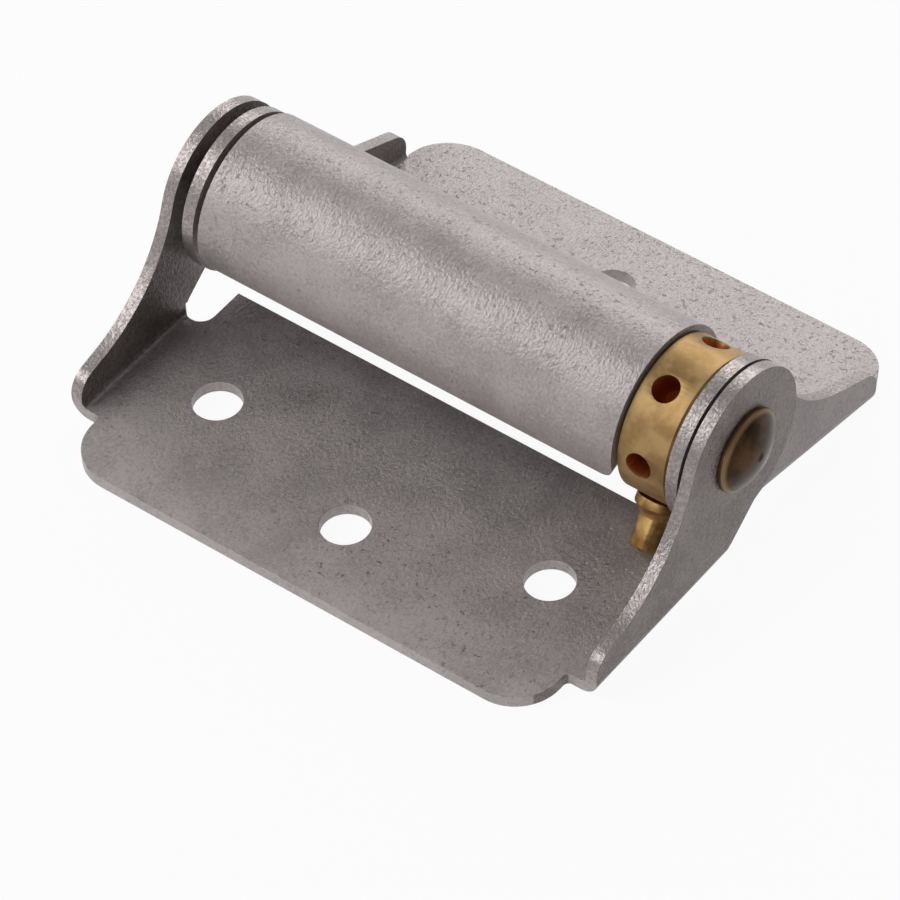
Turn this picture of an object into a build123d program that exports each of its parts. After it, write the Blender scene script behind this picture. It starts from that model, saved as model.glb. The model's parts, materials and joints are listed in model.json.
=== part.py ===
"""Full-surface door hinge with an adjustable closing spring.

Two stamped leaves turn on one riveted pin. The front leaf carries the outer ears. The rear
leaf carries the inner ears and a tongue that is curled into the cover of the torsion spring.
A brass collar on the pin winds the spring, and a shouldered pin in one of the collar's holes
bears on the front leaf.

+X runs along the hinge pin towards the collar, +Y from the front leaf to the rear leaf, and
+Z out of the front leaf's mounting face. The origin lies on that face, midway between the
two screw holes that are level with each other. Lengths are in millimetres.
"""
from build123d import *

import os
from math import atan2, cos, degrees, hypot, pi, radians, sin, sqrt, tan

os.makedirs("parts", exist_ok=True)

# Stock and running clearances
sheet = 1.6
bend_inside = 0.8
ear_gap = 0.4             # between the two ears at the collar end
far_ear_gap = 1.6         # between the two ears at the other end
pin_clearance = 0.06      # on the radius, pin in its bores
end_gap = 0.3             # along the pin, between the collar and its neighbours
peg_clearance = 0.05      # on the radius, tension pin in its hole
tang_clearance = 0.12     # on the radius, spring end in its hole
tang_end_gap = 0.3        # left beyond the spring's end in the collar
coil_clearance = 0.7      # between the coil and the cover, and between the coil and the hub

# Leaves: distances out from the pin axis, and heights of the cover over the plates
length = 76.2             # over the front leaf's ears
front_reach = 35.9
front_rise = 3.6
front_inner_edge = 3.6
rear_reach = 39.1
rear_rise = 1.7
rear_inner_edge = 6.8
rest_fold = 11.0          # degrees that the rear leaf hangs past flat

# The blank that both leaves share, measured in from the outer edge
plate_side_inset = 4.2    # its sides, in from the front leaf's ears
corner_radius = 6.1
corner_flat = 0.6         # straight side between the round corner and the notch
notch_radius = 0.7
notch_share = 0.9         # of the step beside it, at most
front_screw_radius = 3.05
rear_screw_radius = 2.6
side_screw_inset = 17.25
side_screw_side_inset = 9.7
middle_screw_inset = 10.6

# Ears, seen along the pin
ear_margin = 0.2          # the cover stands this much over the ears' discs
neck_radius = 20.0
neck_share = 0.98         # of the room there is, at most
tail_height = 3.55        # tip above the plate's upper face
tail_slope = 13.0
tail_radius = 3.0
base_height = 1.8         # straight foot of the ear's inner end, above the mounting face
base_radius = 1.4
heel_radius = 3.0
heel_run = 6.324          # the ear's inner edge falls by the rise over the run
heel_rise = 4.59
front_base_end = 3.3      # the ear that takes the tension pin's thrust
slotted_base_end = 9.0    # the ear beside the relief slot
slotted_base_height = 2.6
rear_base_end = 6.5

# Relief slot in the front leaf
slot_side_radius = 1.9
slot_side_inset = 0.7     # its middle line, in from the bend line
slot_depth = 6.5

# Spring cover
cover_radius = 10.4
cover_inset = 8.9         # its collar end, in from the rear leaf's outer face there
cover_far_inset = 2.5     # its other end
cover_root_inside = 1.6
cover_free_angle = 197.6  # free edge, counted from +Y over the top
cover_corner_radius = 2.2

# Hinge pin
pin_radius = 3.0
head_radius = 5.3
head_rim = 0.6
head_dome = 1.7
tail_head_radius = 4.7
tail_head_dome = 1.5

# Tension collar and its pin
collar_radius = 9.62
collar_chamfer = 0.35
hub_length = 6.0
peg_holes = 6
peg_hole_radius = 1.7
peg_hole_depth = 4.6
peg_angle = 234.7         # the hole that holds the tension pin, counted like the free edge
peg_hole_offset = 2.9     # hole axis from the collar's spring-side face
shoulder_radius = 2.8
shoulder_thickness = 1.15
shoulder_cone = 1.2
shank_radius = 1.7
plate_touch = 0.05        # left between the tension pin's end and the front leaf
peg_chamfer = 0.3

# Torsion spring
wire_radius = 1.1
coil_turns = 16
tang_bend = 1.7           # radius of the wire's middle line where an end turns along the pin
tang_hole_depth = 1.6
tang_holes_on = 3.5       # its collar end, in hole spacings from the tension pin: midway

# Derived sizes
front_drop = cover_radius + front_rise
rear_drop = cover_radius + rear_rise
ear_radius = cover_radius - ear_margin
plate_width = length - 2 * plate_side_inset
side_screw_half_pitch = plate_width / 2 - side_screw_side_inset
tail_setback = corner_radius + corner_flat + notch_radius
coil_radius = cover_radius - sheet - coil_clearance - wire_radius
hub_radius = coil_radius - wire_radius - coil_clearance
tang_reach = tang_hole_depth - tang_end_gap
tang_angle = peg_angle - tang_holes_on * 360 / peg_holes

# Derived places
half_length = length / 2
rear_right_x = half_length - sheet - ear_gap
rear_left_x = sheet + far_ear_gap - half_length
rear_middle_x = (rear_right_x + rear_left_x) / 2
rear_half_length = (rear_right_x - rear_left_x) / 2
cover_right_x = rear_right_x - cover_inset
cover_left_x = rear_left_x + cover_far_inset
collar_right_x = rear_right_x - sheet - end_gap
collar_left_x = cover_right_x + end_gap
pin_y = front_reach - side_screw_inset
pin_z = front_drop + sheet
pin_point = Vector(0, pin_y, pin_z)
fold = radians(rest_fold)

# Middle line of the spring wire: two ends along the pin, joined to the coil by bends
tang_left_x = rear_left_x + sheet
coil_start_x = tang_left_x + tang_bend
coil_length = collar_left_x - tang_bend - coil_start_x
coil_pitch = coil_length / coil_turns
coil_lead = atan2(coil_pitch, 2 * pi * coil_radius)
tang_side = tang_bend * (1 - sin(coil_lead))
tang_along = tang_bend * cos(coil_lead)

# Each leaf has its own plane through the pin axis: local x along the pin, local y outwards
front_frame = Plane(origin=pin_point, x_dir=(-1, 0, 0), z_dir=(0, 0, 1))
rear_middle = pin_point + Vector(rear_middle_x, 0, 0)
rear_frame = Plane(origin=rear_middle, x_dir=(1, 0, 0), z_dir=(0, sin(fold), cos(fold)))
along_pin = Plane(origin=pin_point, x_dir=(1, 0, 0), z_dir=(0, 0, 1))
pin_axis = Axis(pin_point, (1, 0, 0))
tang_turn = radians(tang_angle)
coil_frame = Plane(
    origin=pin_point + Vector(coil_start_x, 0, 0),
    x_dir=(0, cos(tang_turn), sin(tang_turn)),
    z_dir=(1, 0, 0),
)


def side_plane(frame, along):
    """Plane across the pin at a distance along it: x outwards from the pin, y up."""
    start = frame.from_local_coords(Vector(along, 0, 0))
    return Plane(origin=start, x_dir=frame.y_dir, z_dir=frame.x_dir)


def end_plane(frame, out):
    """Plane across the leaf at a distance from the pin: x along the pin, y up, normal inwards."""
    start = frame.from_local_coords(Vector(0, out, 0))
    return Plane(origin=start, x_dir=frame.x_dir, z_dir=-frame.y_dir)


def ear_outline(drop, reach, base_end, foot):
    """Ear seen along the pin: disc, hollow neck, low tail and straight foot."""
    back = -drop - sheet
    tail = reach - tail_setback
    tip = tail_height - drop
    inside = ear_radius / 2
    slope = radians(tail_slope)
    # The heel's line ends where it is closest to the pin axis, inside the disc
    heel = hypot(heel_run, heel_rise)
    heel_step = (base_end * heel_run - (back + foot) * heel_rise) / heel**2
    # The neck's arc touches the disc and the slope, and leaves room for the tail's arc
    slope_level = tail * sin(slope) + tip * cos(slope)
    tail_room = tail_radius * tan((pi / 2 - slope) / 2)
    neck_end = tail * cos(slope) - tip * sin(slope) - tail_room
    neck_room = (neck_end**2 + slope_level**2 - ear_radius**2) / (2 * (ear_radius - slope_level))
    with BuildSketch() as outline:
        with BuildLine():
            Polyline(
                (tail, back),
                (tail, tip),
                (inside, tip + (tail - inside) * tan(slope)),
                (base_end - heel_step * heel_run, back + foot + heel_step * heel_rise),
                (base_end, back + foot),
                (base_end, back),
                close=True,
            )
        make_face()
        Circle(ear_radius)
        on_disc = outline.vertices().filter_by(
            lambda v: abs(hypot(v.X, v.Y) - ear_radius) < 1e-4
        )
        fillet(on_disc.sort_by(Axis.X)[-1], min(neck_radius, neck_share * neck_room))
        on_disc = outline.vertices().filter_by(
            lambda v: abs(hypot(v.X, v.Y) - ear_radius) < 1e-4
        )
        fillet(on_disc.sort_by(Axis.Y)[0], heel_radius)
        fillet(outline.vertices().sort_by_distance(Vector(tail, tip))[0], tail_radius)
        fillet(outline.vertices().sort_by_distance(Vector(base_end, back + foot))[0], base_radius)
    return outline.sketch


def bent_ear(frame, side, outer_face, drop, reach, base_end, foot):
    """One ear with its bend: a J-shaped strip along the leaf, cut to the ear's outline."""
    back = -drop - sheet
    tail = reach - tail_setback
    outer_bend = bend_inside + sheet
    bend_line = outer_face - outer_bend
    top = ear_radius + sheet
    outline = ear_outline(drop, reach, base_end, foot)
    with BuildPart() as ear:
        with BuildSketch(end_plane(frame, tail)):
            with BuildLine():
                Line((side * bend_line, back + sheet), (side * bend_line, back))
                RadiusArc(
                    (side * bend_line, back),
                    (side * outer_face, back + outer_bend),
                    -side * outer_bend,
                )
                Polyline(
                    (side * outer_face, back + outer_bend),
                    (side * outer_face, top),
                    (side * (outer_face - sheet), top),
                    (side * (outer_face - sheet), back + outer_bend),
                )
                RadiusArc(
                    (side * (outer_face - sheet), back + outer_bend),
                    (side * bend_line, back + sheet),
                    side * bend_inside,
                )
            make_face()
        extrude(amount=tail + top)
        with BuildSketch(side_plane(frame, 0)):
            add(outline)
        extrude(amount=side * (outer_face + sheet), mode=Mode.INTERSECT)
    return ear.part


def plate_outline(outer_face, reach, inner_edge, screw_radius):
    """Flat plate of a leaf: round outer corners, then the width between the ears' bends."""
    corner = plate_width / 2
    bend_line = outer_face - sheet - bend_inside
    tail = reach - tail_setback
    with BuildSketch() as outline:
        with BuildLine():
            Polyline(
                (-corner, reach),
                (corner, reach),
                (corner, tail),
                (bend_line, tail),
                (bend_line, inner_edge),
                (-bend_line, inner_edge),
                (-bend_line, tail),
                (-corner, tail),
                close=True,
            )
        make_face()
        fillet(outline.vertices().group_by(Axis.Y)[-1], corner_radius)
        notches = outline.vertices().filter_by(
            lambda v: abs(v.Y - tail) < 1e-4 and abs(abs(v.X) - corner) < 1e-4
        )
        fillet(notches, min(notch_radius, notch_share * abs(corner - bend_line)))
        with Locations(
            (-side_screw_half_pitch, reach - side_screw_inset),
            (side_screw_half_pitch, reach - side_screw_inset),
            (0, reach - middle_screw_inset),
        ):
            Circle(screw_radius, mode=Mode.SUBTRACT)
    return outline.sketch


# Front leaf. Local x runs against +X, so its slotted ear is on the positive local side.
front_thrust_ear = bent_ear(
    front_frame, -1, half_length, front_drop, front_reach, front_base_end, base_height
)
front_slotted_ear = bent_ear(
    front_frame, 1, half_length, front_drop, front_reach, slotted_base_end, slotted_base_height
)
front_plate = plate_outline(half_length, front_reach, front_inner_edge, front_screw_radius)
slot_x = half_length - sheet - bend_inside - slot_side_inset
slot_end = front_inner_edge + slot_depth

with BuildPart() as front_leaf:
    with BuildSketch(front_frame.offset(-front_drop - sheet)):
        add(front_plate)
    extrude(amount=sheet)
    add(front_thrust_ear)
    add(front_slotted_ear)
    with BuildSketch(front_frame.offset(-front_drop - sheet)):
        with Locations((slot_x, slot_end - slot_side_radius)):
            Circle(slot_side_radius)
        with Locations((slot_x, (slot_end - slot_side_radius + front_inner_edge) / 2)):
            Rectangle(2 * slot_side_radius, slot_end - slot_side_radius - front_inner_edge)
    extrude(amount=slotted_base_height, mode=Mode.SUBTRACT)
    with BuildSketch(side_plane(front_frame, 0)):
        Circle(pin_radius + pin_clearance)
    extrude(amount=half_length + sheet, both=True, mode=Mode.SUBTRACT)
front_leaf.part.label = "front_leaf"
export_step(front_leaf.part, "parts/front_leaf.step")

# Rear leaf: inner ears, and the tongue that bends up behind the pin and curls over it
rear_ears = [
    bent_ear(rear_frame, side, rear_half_length, rear_drop, rear_reach, rear_base_end, base_height)
    for side in (-1, 1)
]
rear_plate = plate_outline(rear_half_length, rear_reach, rear_inner_edge, rear_screw_radius)
curl_mid = cover_radius - sheet / 2
root_mid = cover_root_inside + sheet / 2
root_up = root_mid - rear_drop - sheet / 2
root_out = sqrt((curl_mid + root_mid) ** 2 - root_up**2)
root_angle = degrees(atan2(root_up, root_out))
free_angle = cover_free_angle + rest_fold
tongue_start = Vector(root_out, -rear_drop - sheet / 2)
free_edge = pin_point + Vector(
    (cover_left_x + cover_right_x) / 2,
    curl_mid * cos(radians(cover_free_angle)),
    curl_mid * sin(radians(cover_free_angle)),
)
left_tang = coil_frame.from_local_coords(Vector(coil_radius, tang_side, 0))

with BuildPart() as rear_leaf:
    with BuildSketch(rear_frame.offset(-rear_drop - sheet)):
        add(rear_plate)
    extrude(amount=sheet)
    add(rear_ears)
    with BuildSketch(side_plane(rear_frame, cover_left_x - rear_middle_x)):
        with BuildLine() as tongue:
            Line((rear_inner_edge + sheet, tongue_start.Y), (root_out, tongue_start.Y))
            CenterArc((root_out, root_up), root_mid, -90, root_angle - 90)
            CenterArc((0, 0), curl_mid, root_angle, free_angle - root_angle)
        trace(tongue.line, sheet)
    extrude(amount=cover_right_x - cover_left_x)
    with BuildSketch(side_plane(rear_frame, 0)):
        Circle(pin_radius + pin_clearance)
    extrude(amount=rear_half_length + sheet, both=True, mode=Mode.SUBTRACT)
    with BuildSketch(Plane(origin=(rear_left_x, left_tang.Y, left_tang.Z), z_dir=(1, 0, 0))):
        Circle(wire_radius + tang_clearance)
    extrude(amount=sheet, mode=Mode.SUBTRACT)
    free_corners = (
        rear_leaf.edges()
        .filter_by(lambda e: abs(e.length - sheet) < 1e-3)
        .sort_by(lambda e: (e.center() - free_edge).length)[:2]
    )
    fillet(free_corners, cover_corner_radius)
rear_leaf.part.label = "rear_leaf"
export_step(rear_leaf.part, "parts/rear_leaf.step")

# Hinge pin: plain rivet with a domed head on the collar side and a smaller closed end
head_x = half_length + head_rim
head_sphere = (head_radius**2 + head_dome**2) / (2 * head_dome)
tail_head_sphere = (tail_head_radius**2 + tail_head_dome**2) / (2 * tail_head_dome)

with BuildPart() as hinge_pin:
    with BuildSketch(along_pin):
        with BuildLine():
            Polyline(
                (-half_length - tail_head_dome, 0),
                (head_x + head_dome, 0),
            )
            RadiusArc((head_x + head_dome, 0), (head_x, head_radius), -head_sphere)
            Polyline(
                (head_x, head_radius),
                (half_length, head_radius),
                (half_length, pin_radius),
                (-half_length, pin_radius),
                (-half_length, tail_head_radius),
            )
            RadiusArc(
                (-half_length, tail_head_radius), (-half_length - tail_head_dome, 0), -tail_head_sphere
            )
        make_face()
    revolve(axis=pin_axis)
hinge_pin.part.label = "hinge_pin"
export_step(hinge_pin.part, "parts/hinge_pin.step")

# Tension collar: ring with radial holes, a hub inside the coil and a hole for the spring end
peg_x = collar_left_x + peg_hole_offset
right_tang = coil_frame.from_local_coords(Vector(coil_radius, -tang_side, 0))

with BuildPart() as tension_collar:
    with BuildSketch(along_pin):
        with BuildLine():
            Polyline(
                (collar_left_x - hub_length, pin_radius + pin_clearance),
                (collar_right_x, pin_radius + pin_clearance),
                (collar_right_x, collar_radius - collar_chamfer),
                (collar_right_x - collar_chamfer, collar_radius),
                (collar_left_x, collar_radius),
                (collar_left_x, hub_radius),
                (collar_left_x - hub_length, hub_radius),
                close=True,
            )
        make_face()
    revolve(axis=pin_axis)
    for hole in range(peg_holes):
        angle = radians(peg_angle + 360 / peg_holes * hole)
        outwards = Vector(0, cos(angle), sin(angle))
        rim = pin_point + Vector(peg_x, 0, 0) + outwards * (collar_radius + sheet)
        with BuildSketch(Plane(origin=rim, x_dir=(1, 0, 0), z_dir=-outwards)):
            Circle(peg_hole_radius)
        extrude(amount=peg_hole_depth + sheet, mode=Mode.SUBTRACT)
    with BuildSketch(Plane(origin=(collar_left_x, right_tang.Y, right_tang.Z), z_dir=(1, 0, 0))):
        Circle(wire_radius + tang_clearance)
    extrude(amount=tang_hole_depth, mode=Mode.SUBTRACT)
tension_collar.part.label = "tension_collar"
export_step(tension_collar.part, "parts/tension_collar.step")

# Tension pin: spigot in the collar, shoulder with a cone, and a shank down to the front leaf
peg_out = Vector(0, cos(radians(peg_angle)), sin(radians(peg_angle)))
peg_start = pin_point + Vector(peg_x, 0, 0)
peg_frame = Plane(origin=peg_start, x_dir=(1, 0, 0), z_dir=Vector(1, 0, 0).cross(peg_out))
spigot_radius = peg_hole_radius - peg_clearance
spigot_end = collar_radius - peg_hole_depth + peg_clearance
cone_start = collar_radius + shoulder_thickness
cone_end = cone_start + shoulder_cone
peg_end = (front_drop - plate_touch + peg_out.Y * (shank_radius - peg_chamfer)) / -peg_out.Z

with BuildPart() as tension_pin:
    with BuildSketch(peg_frame):
        with BuildLine():
            Polyline(
                (0, spigot_end),
                (spigot_radius - peg_chamfer, spigot_end),
                (spigot_radius, spigot_end + peg_chamfer),
                (spigot_radius, collar_radius),
                (shoulder_radius, collar_radius),
                (shoulder_radius, cone_start),
                (shank_radius, cone_end),
                (shank_radius, peg_end - peg_chamfer),
                (shank_radius - peg_chamfer, peg_end),
                (0, peg_end),
                close=True,
            )
        make_face()
    revolve(axis=Axis(peg_start, peg_out))
tension_pin.part.label = "tension_pin"
export_step(tension_pin.part, "parts/tension_pin.step")

# Torsion spring, made standing on its middle line and then laid along the hinge pin
with BuildPart() as coil:
    with BuildLine() as wire:
        Line((coil_radius, tang_side, -tang_bend - tang_reach), (coil_radius, tang_side, -tang_along))
        TangentArc((coil_radius, tang_side, -tang_along), (coil_radius, 0, 0), tangent=(0, 0, 1))
        turns = Helix(coil_pitch, coil_length, coil_radius, lefthand=True)
        last_bend = TangentArc(
            turns @ 1,
            (coil_radius, -tang_side, coil_length + tang_along),
            tangent=turns % 1,
        )
        Line(last_bend @ 1, (coil_radius, -tang_side, coil_length + tang_bend + tang_reach))
    with BuildSketch(Plane(origin=wire.line @ 0, z_dir=(0, 0, 1))):
        Circle(wire_radius)
    sweep(path=wire.line)

with BuildPart() as torsion_spring:
    add(coil_frame.from_local_coords(coil.part))
torsion_spring.part.label = "torsion_spring"
export_step(torsion_spring.part, "parts/torsion_spring.step")
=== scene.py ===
import json

import bmesh
import bpy
from mathutils import Matrix, Vector


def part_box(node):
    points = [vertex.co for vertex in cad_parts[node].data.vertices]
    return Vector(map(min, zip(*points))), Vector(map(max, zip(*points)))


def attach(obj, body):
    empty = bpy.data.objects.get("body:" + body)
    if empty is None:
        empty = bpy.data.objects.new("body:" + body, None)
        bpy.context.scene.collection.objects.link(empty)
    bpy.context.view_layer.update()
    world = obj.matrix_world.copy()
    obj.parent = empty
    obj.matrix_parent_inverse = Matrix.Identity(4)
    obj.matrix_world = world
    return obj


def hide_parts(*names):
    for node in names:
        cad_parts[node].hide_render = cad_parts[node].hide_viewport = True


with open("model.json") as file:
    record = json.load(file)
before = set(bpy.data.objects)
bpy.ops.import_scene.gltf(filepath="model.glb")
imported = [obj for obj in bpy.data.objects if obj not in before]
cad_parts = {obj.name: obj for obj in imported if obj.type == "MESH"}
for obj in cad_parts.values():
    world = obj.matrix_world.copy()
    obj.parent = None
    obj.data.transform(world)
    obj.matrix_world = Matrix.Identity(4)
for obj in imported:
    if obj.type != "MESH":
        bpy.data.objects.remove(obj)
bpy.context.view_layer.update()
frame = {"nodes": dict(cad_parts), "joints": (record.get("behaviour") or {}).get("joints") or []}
mm = 0.001
pinPoint = Vector(frame["joints"][0]["pos_m"])
print("frame loaded, pin axis through", [round(v, 5) for v in pinPoint])


class Value:
    # A shader socket with arithmetic: each operator adds a Math node
    def __init__(self, kit, socket):
        self.kit = kit
        self.socket = socket

    def math(self, operation, *others):
        values = dict(enumerate((self, *others)))
        return self.kit.node("ShaderNodeMath", {"operation": operation}, values)

    def __add__(self, other):
        return self.math("ADD", other)

    def __radd__(self, other):
        return self.math("ADD", other)

    def __sub__(self, other):
        return self.math("SUBTRACT", other)

    def __rsub__(self, other):
        return self.math("MULTIPLY", -1) + other

    def __mul__(self, other):
        return self.math("MULTIPLY", other)

    def __rmul__(self, other):
        return self.math("MULTIPLY", other)

    def ramp(self, low, high):
        # 0 at low, 1 at high, smooth between; low may be the larger
        return self.kit.node(
            "ShaderNodeMapRange",
            {"interpolation_type": "SMOOTHSTEP"},
            {"Value": self, "From Min": low, "From Max": high},
        )


class Kit:
    # The nodes of one material or of the room
    def __init__(self, owner):
        owner.use_nodes = True
        self.owner = owner
        self.tree = owner.node_tree

    def put(self, socket, value):
        if isinstance(value, Value):
            self.tree.links.new(value.socket, socket)
        elif socket.type == "RGBA" and len(value) == 3:
            socket.default_value = (*value, 1)
        else:
            socket.default_value = value

    def node(self, kind, settings, values, output=0):
        made = self.tree.nodes.new(kind)
        for key, value in settings.items():
            setattr(made, key, value)
        for key, value in values.items():
            self.put(made.inputs[key], value)
        return Value(self, made.outputs[output])

    def dress(self, name, values):
        # Sets the sockets of a node that is there from the start, and gives its output
        found = self.tree.nodes[name]
        for key, value in values.items():
            self.put(found.inputs[key], value)
        return Value(self, found.outputs[0]) if found.outputs else None

    def place(self, stretch=(1, 1, 1)):
        # Object coordinates in millimetres, stretched along each axis
        raw = self.node("ShaderNodeTexCoord", {}, {}, "Object")
        scale = tuple(part / mm for part in stretch)
        return self.node("ShaderNodeMapping", {}, {"Vector": raw, "Scale": scale})

    def noise(self, place, scale, detail, rough=0.5):
        values = {"Vector": place, "Scale": scale, "Detail": detail, "Roughness": rough}
        return self.node("ShaderNodeTexNoise", {}, values)

    def vector(self, operation, first, second, output=0):
        values = {0: first, 1: second}
        return self.node("ShaderNodeVectorMath", {"operation": operation}, values, output)

    def mix(self, factor, first, second):
        # The node's colours are its sockets 6 and 7, and their mix its output 2
        values = {0: factor, 6: first, 7: second}
        return self.node("ShaderNodeMix", {"data_type": "RGBA"}, values, 2)

    def along(self, vector, axis):
        return self.node("ShaderNodeSeparateXYZ", {}, {"Vector": vector}, axis)

    def bump(self, height, strength, depth):
        plain = self.node("ShaderNodeNewGeometry", {}, {}, "Normal")
        values = {"Height": height, "Strength": strength, "Distance": depth * mm, "Normal": plain}
        return self.node("ShaderNodeBump", {}, values)

    def whiteSeen(self):
        # 1 on rays from the camera, from gloss and through glass
        camera, gloss, glass = (
            self.node("ShaderNodeLightPath", {}, {}, "Is " + way + " Ray")
            for way in ("Camera", "Glossy", "Transmission")
        )
        return camera.math("MAXIMUM", gloss).math("MAXIMUM", glass)

    def metal(self, metallic, colour, roughness, normal):
        look = {"Metallic": metallic, "Base Color": colour, "Roughness": roughness}
        self.dress("Principled BSDF", look | {"Normal": normal})
        return self.owner


# Galvanised sheet: warm grey zinc, finely rippled across the barrel and pitted in patches,
# with painted shade, darker and browner, on the ears' flat sides that face along the pin,
# and darker but shinier on their cut edges. Lengths are in millimetres, and noise scales per
# millimetre
sheetSet = {
    "pale": (0.52, 0.468, 0.463),
    "deep": (0.39, 0.349, 0.344),
    "toneSpan": (0.4, 0.58),
    "toneParts": {"cloud": 0.35, "grain": 0.5, "ripple": 0.15},
    "cloudScale": 0.16,
    "grainScale": 2.8,
    "rippleScale": 2.2,
    "rippleStretch": (1.35, 0.75, 0.75),
    "rippleDepth": 0.115,
    "grainHeight": 0.6,
    "pit": (0.15, 0.125, 0.11),
    "pitShare": 0.75,
    "pitScale": 1.5,
    "pitSpan": (0.57, 0.68),
    "pitHeight": -0.25,
    "patchScale": 0.06,
    "patchSpan": (0.42, 0.62),
    "patchPart": 0.7,
    # painted shade on the ears' flat sides: its colour, its share on each leaf, its blotching and
    # where it turns in
    "paintedFlankShade": (0.122, 0.092, 0.083),
    "paintedFlankShadeShare": {"frontSheet": 0.97, "rearSheet": 0.55},
    "paintedFlankShadeBlotch": 0.4,
    "paintedFlankShadeSpan": (0.6, 0.36),
    "flankTurn": (0.35, 0.75),
    "rim": (0.215, 0.186, 0.172),
    "rimShare": 0.7,
    "rimSpan": (0.42, 0.55),
    "rimAcross": (32.7, 32.9),
    "rimAbove": (1.5, 3.0),
    "rimFlatter": 0.4,
    "rimSmoother": 0.08,
    "rimMetal": 0.2,
    "roughness": 0.41,
    "roughByGrain": 0.4,
    "roughByCloud": 0.2,
    "metallic": 0.4,
}


def galvanised(name, values):
    kit = Kit(bpy.data.materials.new(name))
    place = kit.place()
    cloud = kit.noise(place, values["cloudScale"], 3.0)
    ripple = kit.noise(kit.place(values["rippleStretch"]), values["rippleScale"], 2.0, 0.6)
    grain = kit.noise(place, values["grainScale"], 3.0, 0.65)
    patch = kit.noise(place, values["patchScale"], 3.0).ramp(*values["patchSpan"])
    pit = kit.noise(place, values["pitScale"], 4.0, 0.7).ramp(*values["pitSpan"])

    # Where: on the ears, above the plates, on a face turned along the pin
    facing = kit.node("ShaderNodeTexCoord", {}, {}, "Normal")
    onEar = kit.along(place, "X").math("ABSOLUTE").ramp(*values["rimAcross"])
    raised = kit.along(place, "Z").ramp(*values["rimAbove"])
    sideways = kit.along(facing, "X").math("ABSOLUTE").ramp(*values["flankTurn"])
    rim = onEar * raised * (1 - sideways)

    parts = values["toneParts"]
    tone = cloud * parts["cloud"] + grain * parts["grain"] + ripple * parts["ripple"]
    colour = kit.mix(tone.ramp(*values["toneSpan"]), values["deep"], values["pale"])
    # Painted shade: the ears' flat sides, turned along the pin, are darkened and browned, more on
    # the front leaf, blotched by the tone
    sideShadeBlotch = tone.ramp(*values["paintedFlankShadeSpan"]) * values["paintedFlankShadeBlotch"] + (1 - values["paintedFlankShadeBlotch"])
    paintedFlankShade = onEar * sideways * sideShadeBlotch * values["paintedFlankShadeShare"][name]
    colour = kit.mix(paintedFlankShade, colour, values["paintedFlankShade"])
    pitted = pit * (patch * values["patchPart"] + (1 - values["patchPart"])) * values["pitShare"]
    colour = kit.mix(pitted, colour, values["pit"])
    worn = rim * grain.ramp(*values["rimSpan"]) * values["rimShare"]
    colour = kit.mix(worn, colour, values["rim"])

    uneven = (grain - 0.5) * values["roughByGrain"] + (cloud - 0.5) * values["roughByCloud"]
    roughness = uneven + values["roughness"] - rim * values["rimSmoother"]
    relief = ripple + grain * values["grainHeight"] + pit * values["pitHeight"]
    relief = relief * (1 - rim * values["rimFlatter"])
    skin = kit.bump(relief, 1.0, values["rippleDepth"])
    return kit.metal(values["metallic"] + rim * values["rimMetal"], colour, roughness, skin)


# Brass: stained by handling and finely turned. The rim colour is painted light: a painted glow
# down the collar's holes, a paler painted band on the peg inside its hole, and a painted highlight
# at the edge of the rivet's heads. It starts at one distance from the pin's axis and is full at
# the other
brassSet = {
    "collarBrass": {
        "bright": (0.42, 0.282, 0.128),
        "dull": (0.28, 0.172, 0.07),
        # painted glow down the collar's holes
        "rim": (0.45, 0.12, 0.026),
        "rimLightFrom": 9.45,
        "rimLightTo": 9.15,
        "roughness": 0.5,
    },
    "pegBrass": {
        "bright": (0.70, 0.46, 0.18),
        "dull": (0.26, 0.145, 0.045),
        # paler painted band on the peg inside its hole
        "rim": (0.62, 0.44, 0.20),
        "rimLightFrom": 9.5,
        "rimLightTo": 9.0,
        "roughness": 0.42,
    },
    "rivetBrass": {
        "bright": (0.066, 0.035, 0.017),
        "dull": (0.022, 0.012, 0.006),
        # painted highlight round the edge of the rivet's head
        "rim": (0.20, 0.125, 0.065),
        "rimLightFrom": 4.6,
        "rimLightTo": 5.1,
        "roughness": 0.36,
    },
}
stainSet = {
    "scale": 0.28,
    "span": (0.36, 0.62),
    "rough": 0.35,
    "height": 0.6,
    "onRimLight": (0.6, 1.1),
    "ringStretch": (7, 0.1, 0.1),
    "ringScale": 1.0,
    "strength": 0.35,
    "depth": 0.03,
}


def brass(name):
    values, marks = brassSet[name], stainSet
    kit = Kit(bpy.data.materials.new(name))
    place = kit.place()
    stain = kit.noise(place, marks["scale"], 4.0, 0.6)
    rings = kit.noise(kit.place(marks["ringStretch"]), marks["ringScale"], 3.0)
    flat = kit.vector("MULTIPLY", place, (0, 1, 1))
    pin = (0, pinPoint.y / mm, pinPoint.z / mm)
    reach = kit.vector("DISTANCE", flat, pin, "Value")
    colour = kit.mix(stain.ramp(*marks["span"]), values["dull"], values["bright"])
    least, most = marks["onRimLight"]
    # Painted light: the rim colour, placed by distance from the pin's axis and blotched by the
    # stain
    edge = reach.ramp(values["rimLightFrom"], values["rimLightTo"]) * (stain * (most - least) + least)
    colour = kit.mix(edge, colour, values["rim"])
    roughness = (stain - 0.5) * marks["rough"] + values["roughness"]
    turned = kit.bump(rings + stain * marks["height"], marks["strength"], marks["depth"])
    return kit.metal(1.0, colour, roughness, turned)


# Spring wire: dark drawn steel under a film of oil
wireSet = {
    "light": (0.30, 0.28, 0.27),
    "dark": (0.10, 0.095, 0.09),
    "filmScale": 0.6,
    "filmSpan": (0.35, 0.65),
    "roughness": 0.4,
    "roughByFilm": 0.3,
    "drawnScale": 3.0,
    "strength": 0.3,
    "depth": 0.02,
}


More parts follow.
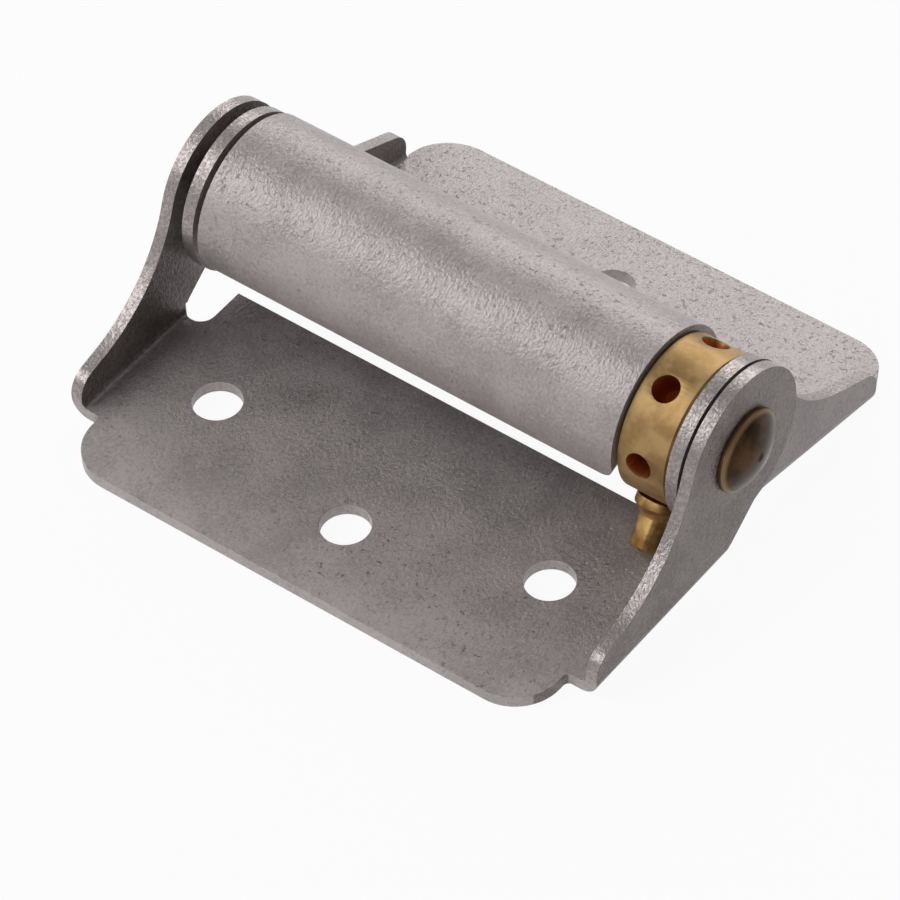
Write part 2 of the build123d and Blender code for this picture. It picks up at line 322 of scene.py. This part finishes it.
def oiledWire(name, values):
    kit = Kit(bpy.data.materials.new(name))
    place = kit.place()
    film = kit.noise(place, values["filmScale"], 4.0, 0.6)
    colour = kit.mix(film.ramp(*values["filmSpan"]), values["dark"], values["light"])
    roughness = (film - 0.5) * values["roughByFilm"] + values["roughness"]
    drawn = kit.noise(place, values["drawnScale"], 2.0)
    return kit.metal(1.0, colour, roughness, kit.bump(drawn, values["strength"], values["depth"]))


# Pieces: each CAD node's mesh is copied, merged and shaded smooth between its sharp edges
mergeSet = {"distance": 0.002, "smoothAngle": 0.55}


def mergedForm(node):
    form = bmesh.new()
    form.from_mesh(frame["nodes"][node].data)
    bmesh.ops.remove_doubles(form, verts=form.verts, dist=mergeSet["distance"] * mm)
    return form


def showPiece(name, form, material, node, body):
    mesh = bpy.data.meshes.new(name)
    form.to_mesh(mesh)
    form.free()
    mesh.polygons.foreach_set("use_smooth", [True] * len(mesh.polygons))
    mesh.set_sharp_from_angle(angle=mergeSet["smoothAngle"])
    mesh.materials.append(material)
    piece = bpy.data.objects.new(name, mesh)
    bpy.context.scene.collection.objects.link(piece)
    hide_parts(node)
    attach(piece, body)
    return piece


# Leaves and brass pieces: their edges are worn round by this many millimetres
wornSet = {
    "front_leaf": {"width": 0.22, "body": "front_leaf", "slot": "galvanised_steel"},
    "rear_leaf": {"width": 0.22, "body": "rear_leaf", "slot": "galvanised_steel"},
    "hinge_pin": {"width": 0.18, "body": "front_leaf", "slot": "dark_brass"},
    "tension_collar": {"width": 0.12, "body": "tension_collar", "slot": "satin_brass"},
    "tension_pin": {"width": 0.15, "body": "tension_collar", "slot": "turned_brass"},
}
flatAngle = 0.01
wornAngle = 0.6


def wornCopy(node, material):
    values = wornSet[node]
    form = mergedForm(node)
    bmesh.ops.dissolve_limit(form, angle_limit=flatAngle, verts=form.verts, edges=form.edges)
    piece = showPiece(node + "Worn", form, material, node, values["body"])
    edges = piece.modifiers.new("wornEdges", "BEVEL")
    edges.width = values["width"] * mm
    edges.segments = 2
    edges.limit_method = "ANGLE"
    edges.angle_limit = wornAngle
    edges.use_clamp_overlap = True
    edges.harden_normals = True


wornCopy("front_leaf", galvanised("frontSheet", sheetSet))
wornCopy("rear_leaf", galvanised("rearSheet", sheetSet))
wornCopy("hinge_pin", brass("rivetBrass"))
wornCopy("tension_collar", brass("collarBrass"))
wornCopy("tension_pin", brass("pegBrass"))

# Spring: parted just before its far end enters the collar, which carries that end round
springSet = {
    "partAt": 27.45,
    "slot": "spring_steel",
    "pieces": {"springCoil": "rear_leaf", "springEnd": "tension_collar"},
}


def partSpring(values, material):
    for name, body in values["pieces"].items():
        isEnd = body == "tension_collar"
        form = mergedForm("torsion_spring")
        bmesh.ops.bisect_plane(
            form,
            geom=form.verts[:] + form.edges[:] + form.faces[:],
            plane_co=(values["partAt"] * mm, 0, 0),
            plane_no=(1, 0, 0),
            clear_inner=isEnd,
            clear_outer=not isEnd,
        )
        bmesh.ops.holes_fill(form, edges=[edge for edge in form.edges if edge.is_boundary])
        showPiece(name, form, material, "torsion_spring", body)


partSpring(springSet, oiledWire("springWire", wireSet))
print("pieces dressed")

# Table: a plane through the two long edges that the hinge rests on, white to the eye but
# for a share that takes the shadow
tableSet = {
    "half": 2.5,
    "gap": 0.02,
    "colour": (0.96, 0.96, 0.96),
    "roughness": 0.9,
    "shadowShare": 0.06,
}


def layTable(values):
    frontBox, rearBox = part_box("front_leaf"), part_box("rear_leaf")
    drop = values["gap"] * mm
    frontEdge = Vector((0, frontBox[0].y, frontBox[0].z - drop))
    rearEdge = Vector((0, rearBox[1].y, rearBox[0].z - drop))
    along = Vector((1, 0, 0)) * values["half"]
    across = (rearEdge - frontEdge).normalized() * values["half"]
    middle = (frontEdge + rearEdge) / 2
    corners = [middle + i * along + j * across for i, j in ((-1, -1), (1, -1), (1, 1), (-1, 1))]
    mesh = bpy.data.meshes.new("table")
    mesh.from_pydata(corners, [], [(0, 1, 2, 3)])
    table = bpy.data.objects.new("table", mesh)
    bpy.context.scene.collection.objects.link(table)
    kit = Kit(bpy.data.materials.new("tablePaper"))
    look = {"Base Color": values["colour"], "Roughness": values["roughness"]}
    paper = kit.dress("Principled BSDF", look)
    white = kit.node("ShaderNodeEmission", {}, {"Color": (1, 1, 1), "Strength": 1.0})
    share = kit.whiteSeen() * (1 - values["shadowShare"])
    shown = kit.node("ShaderNodeMixShader", {}, {0: share, 1: paper, 2: white})
    kit.dress("Material Output", {"Surface": shown})
    mesh.materials.append(kit.owner)


layTable(tableSet)

# Light: a pale room and wide soft lamps, each aimed at the hinge
roomSet = {"strength": 0.06, "seen": 0.4}
lampSet = {
    "back": {"at": (-0.35, 0.95, 0.56), "size": 0.8, "power": 4.7},
    "left": {"at": (-1.1, -0.1, 0.5), "size": 0.7, "power": 3.3},
    "high": {"at": (-0.75, -0.6, 0.95), "size": 1.0, "power": 7.2},
    "right": {"at": (0.95, 0.75, 0.45), "size": 0.6, "power": 0.5},
    "front": {"at": (0.2, -1.1, 0.32), "size": 0.6, "power": 1.5},
}


def fillRoom(values):
    kit = Kit(bpy.data.worlds.new("room"))
    bpy.context.scene.world = kit.owner
    room = kit.dress("Background", {"Color": (1, 1, 1), "Strength": values["strength"]})
    white = kit.node("ShaderNodeBackground", {}, {"Color": (1, 1, 1), "Strength": values["seen"]})
    shown = kit.node("ShaderNodeMixShader", {}, {0: kit.whiteSeen(), 1: room, 2: white})
    kit.dress("World Output", {"Surface": shown})


def hangLamp(name, values):
    lamp = bpy.data.lights.new(name, "AREA")
    lamp.shape = "DISK"
    lamp.size = values["size"]
    lamp.energy = values["power"]
    holder = bpy.data.objects.new(name, lamp)
    holder.location = values["at"]
    holder.rotation_euler = (pinPoint - holder.location).to_track_quat("-Z", "Y").to_euler()
    bpy.context.scene.collection.objects.link(holder)


fillRoom(roomSet)
for name, values in lampSet.items():
    hangLamp(name + "Lamp", values)
print("table and light placed")

# Camera: the view's axes, its distance from the middle of the pin, and how far that point
# lies off the picture's middle, in metres
viewSet = {
    "right": (0.79407, 0.60595, -0.04766),
    "up": (-0.42288, 0.60708, 0.67277),
    "back": (0.43660, -0.51408, 0.73831),
    "distance": 0.6835,
    "pinRight": 0.002709,
    "pinUp": 0.016219,
    "lens": 238.16,
    "sensor": 36.0,
}


def setCamera(values):
    right, up, back = (Vector(values[key]) for key in ("right", "up", "back"))
    spot = pinPoint + back * values["distance"] - right * values["pinRight"] - up * values["pinUp"]
    lens = bpy.data.cameras.new("camera")
    lens.lens = values["lens"]
    lens.sensor_width = values["sensor"]
    camera = bpy.data.objects.new("camera", lens)
    turn = Matrix((right, up, back)).transposed().to_4x4()
    camera.matrix_world = Matrix.Translation(spot) @ turn
    bpy.context.scene.collection.objects.link(camera)
    bpy.context.scene.camera = camera


setCamera(viewSet)
bpy.context.scene.view_settings.view_transform = "Standard"
print("camera set")
